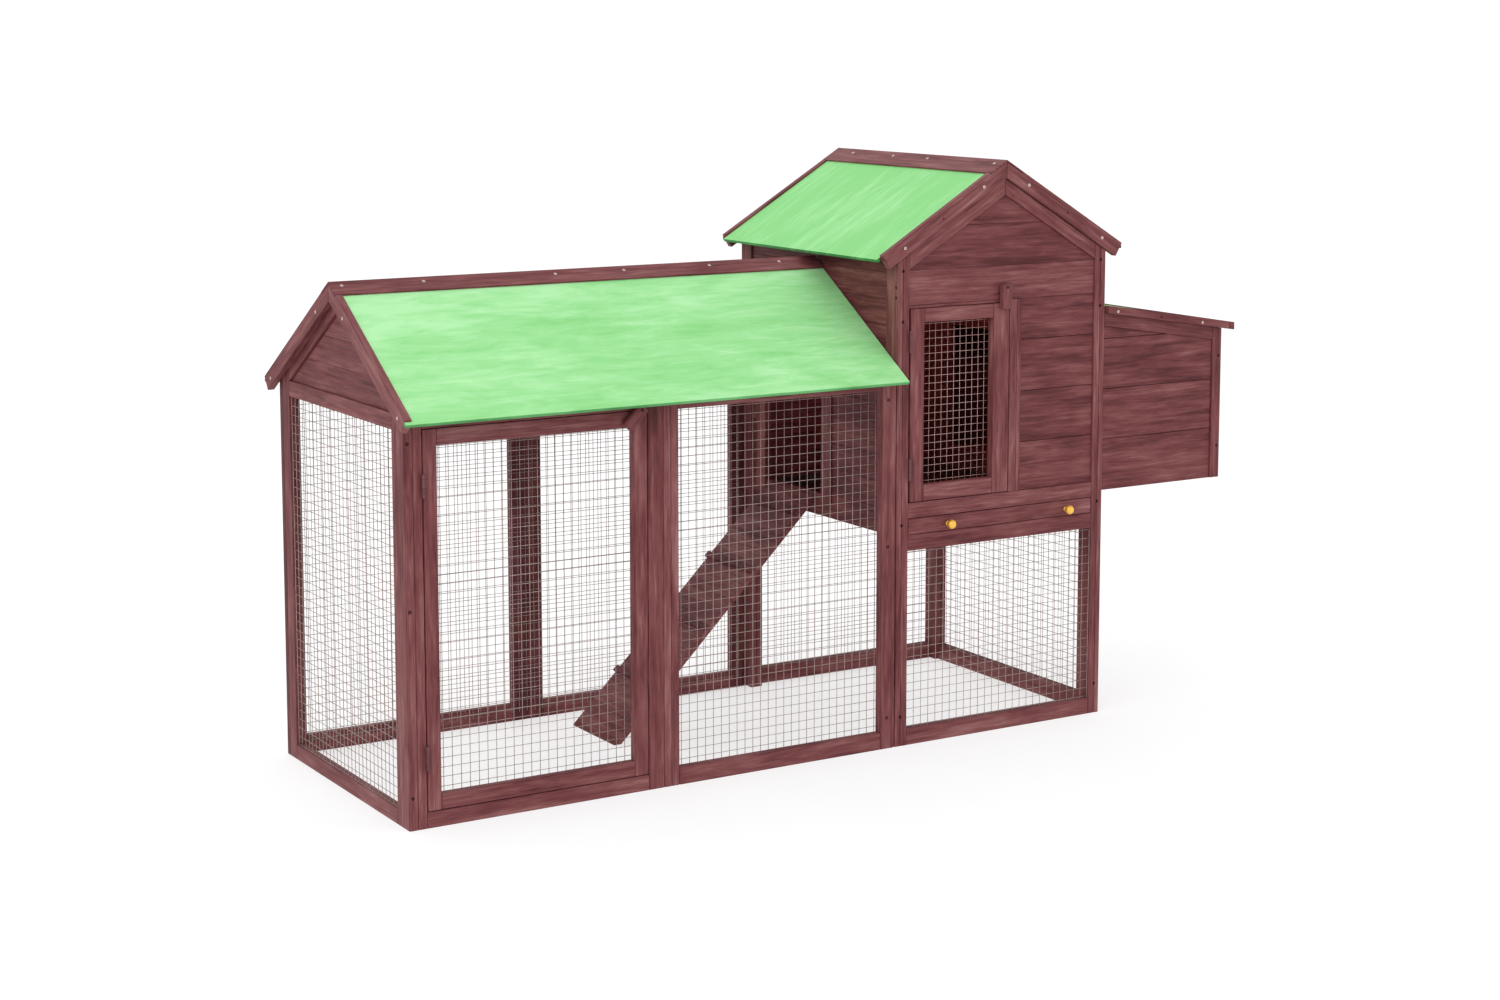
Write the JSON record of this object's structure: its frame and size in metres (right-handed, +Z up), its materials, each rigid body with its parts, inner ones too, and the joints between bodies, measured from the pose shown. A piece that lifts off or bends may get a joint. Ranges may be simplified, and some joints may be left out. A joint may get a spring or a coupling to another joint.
{
  "type": "wooden chicken coop with run",
  "caption": "Timber chicken coop: a gabled mesh run, a taller hen house with doors and a pull-out tray, and a lidded nest box.",
  "frame": {"origin": "middle of the footprint's bounding box, on the ground under the coop", "axes": "+X along the coop from the run's free end towards the nest box, +Y from the front with the doors towards the back, +Z up"},
  "size_m": [1.932, 0.685, 1.1666],
  "materials": {
    "stained_wood": "matt red-brown wood stain on planed fir",
    "green_roofing": "pale green weatherproof roofing",
    "wire_mesh": "bright galvanised welded wire",
    "hinge_steel": "brown paint",
    "brass_knob": "polished",
    "zinc_sheet": "galvanised"
  },
  "bodies": {
    "frame": {"house_bargeboard_front_left": "stained_wood", "house_bargeboard_front_right": "stained_wood", "house_bargeboard_rear_left": "stained_wood", "house_bargeboard_rear_right": "stained_wood", "house_base_rail_front": "stained_wood", "house_base_rail_rear": "stained_wood", "house_base_rail_right": "stained_wood", "house_door_hinge_lower": "hinge_steel", "house_door_hinge_upper": "hinge_steel", "house_floor": "stained_wood", "house_front_wall": "stained_wood", "house_left_wall": "stained_wood", "house_mesh_front": "wire_mesh", "house_mesh_rear": "wire_mesh", "house_mesh_right": "wire_mesh", "house_post_front_left": "stained_wood", "house_post_front_right": "stained_wood", "house_post_rear_left": "stained_wood", "house_post_rear_right": "stained_wood", "house_rail_above_tray": "stained_wood", "house_rail_below_tray": "stained_wood", "house_rear_wall": "stained_wood", "house_ridge_cap": "stained_wood", "house_right_wall": "stained_wood", "house_roof_left": "green_roofing", "house_roof_right": "green_roofing", "nest_end_panel": "stained_wood", "nest_floor": "stained_wood", "nest_front_side": "stained_wood", "nest_lid_hinge": "hinge_steel", "nest_rear_side": "stained_wood", "ramp": "stained_wood", "run_bargeboard_front": "stained_wood", "run_bargeboard_rear": "stained_wood", "run_corner_post_front": "stained_wood", "run_corner_post_rear": "stained_wood", "run_door_hinge_lower": "hinge_steel", "run_door_hinge_upper": "hinge_steel", "run_end_base_rail": "stained_wood", "run_end_mesh": "wire_mesh", "run_front_frame": "stained_wood", "run_front_mesh": "wire_mesh", "run_gable_panel": "stained_wood", "run_rear_frame": "stained_wood", "run_rear_mesh": "wire_mesh", "run_ridge_cap": "stained_wood", "run_roof_front": "green_roofing", "run_roof_rear": "green_roofing"},
    "run_door": {"run_door_frame": "stained_wood", "run_door_mesh": "wire_mesh"},
    "run_door_button": {"run_door_button": "stained_wood"},
    "house_door": {"house_door_frame": "stained_wood", "house_door_mesh": "wire_mesh"},
    "house_door_button": {"house_door_button": "stained_wood"},
    "tray": {"tray_front": "stained_wood", "tray_pan": "zinc_sheet", "tray_knob_left": "brass_knob", "tray_knob_right": "brass_knob"},
    "nest_lid": {"nest_lid": "green_roofing", "nest_lid_edge": "stained_wood"}
  },
  "joints": [
    {"name": "run_door_hinge", "type": "hinge", "parent": "frame", "child": "run_door", "pos_m": [-0.915, -0.2982, 0.378], "axis": [0, 0, -1], "range_deg": [0, 110]},
    {"name": "house_door_hinge", "type": "hinge", "parent": "frame", "child": "house_door", "pos_m": [0.131, -0.2982, 0.687], "axis": [0, 0, -1], "range_deg": [0, 110]},
    {"name": "tray_slide", "type": "slide", "parent": "frame", "child": "tray", "axis": [0, -1, 0], "range_m": [0, 0.48]},
    {"name": "nest_lid_hinge", "type": "hinge", "parent": "frame", "child": "nest_lid", "pos_m": [0.6235, 0, 0.8645], "axis": [0, -1, 0], "range_deg": [0, 70]},
    {"name": "run_door_button_screw", "type": "hinge", "parent": "run_door", "child": "run_door_button", "pos_m": [-0.5, -0.302, 0.706], "axis": [0, 1, 0], "continuous": true},
    {"name": "house_door_button_screw", "type": "hinge", "parent": "house_door", "child": "house_door_button", "pos_m": [0.36, -0.302, 0.874], "axis": [0, 1, 0], "continuous": true}
  ]
}
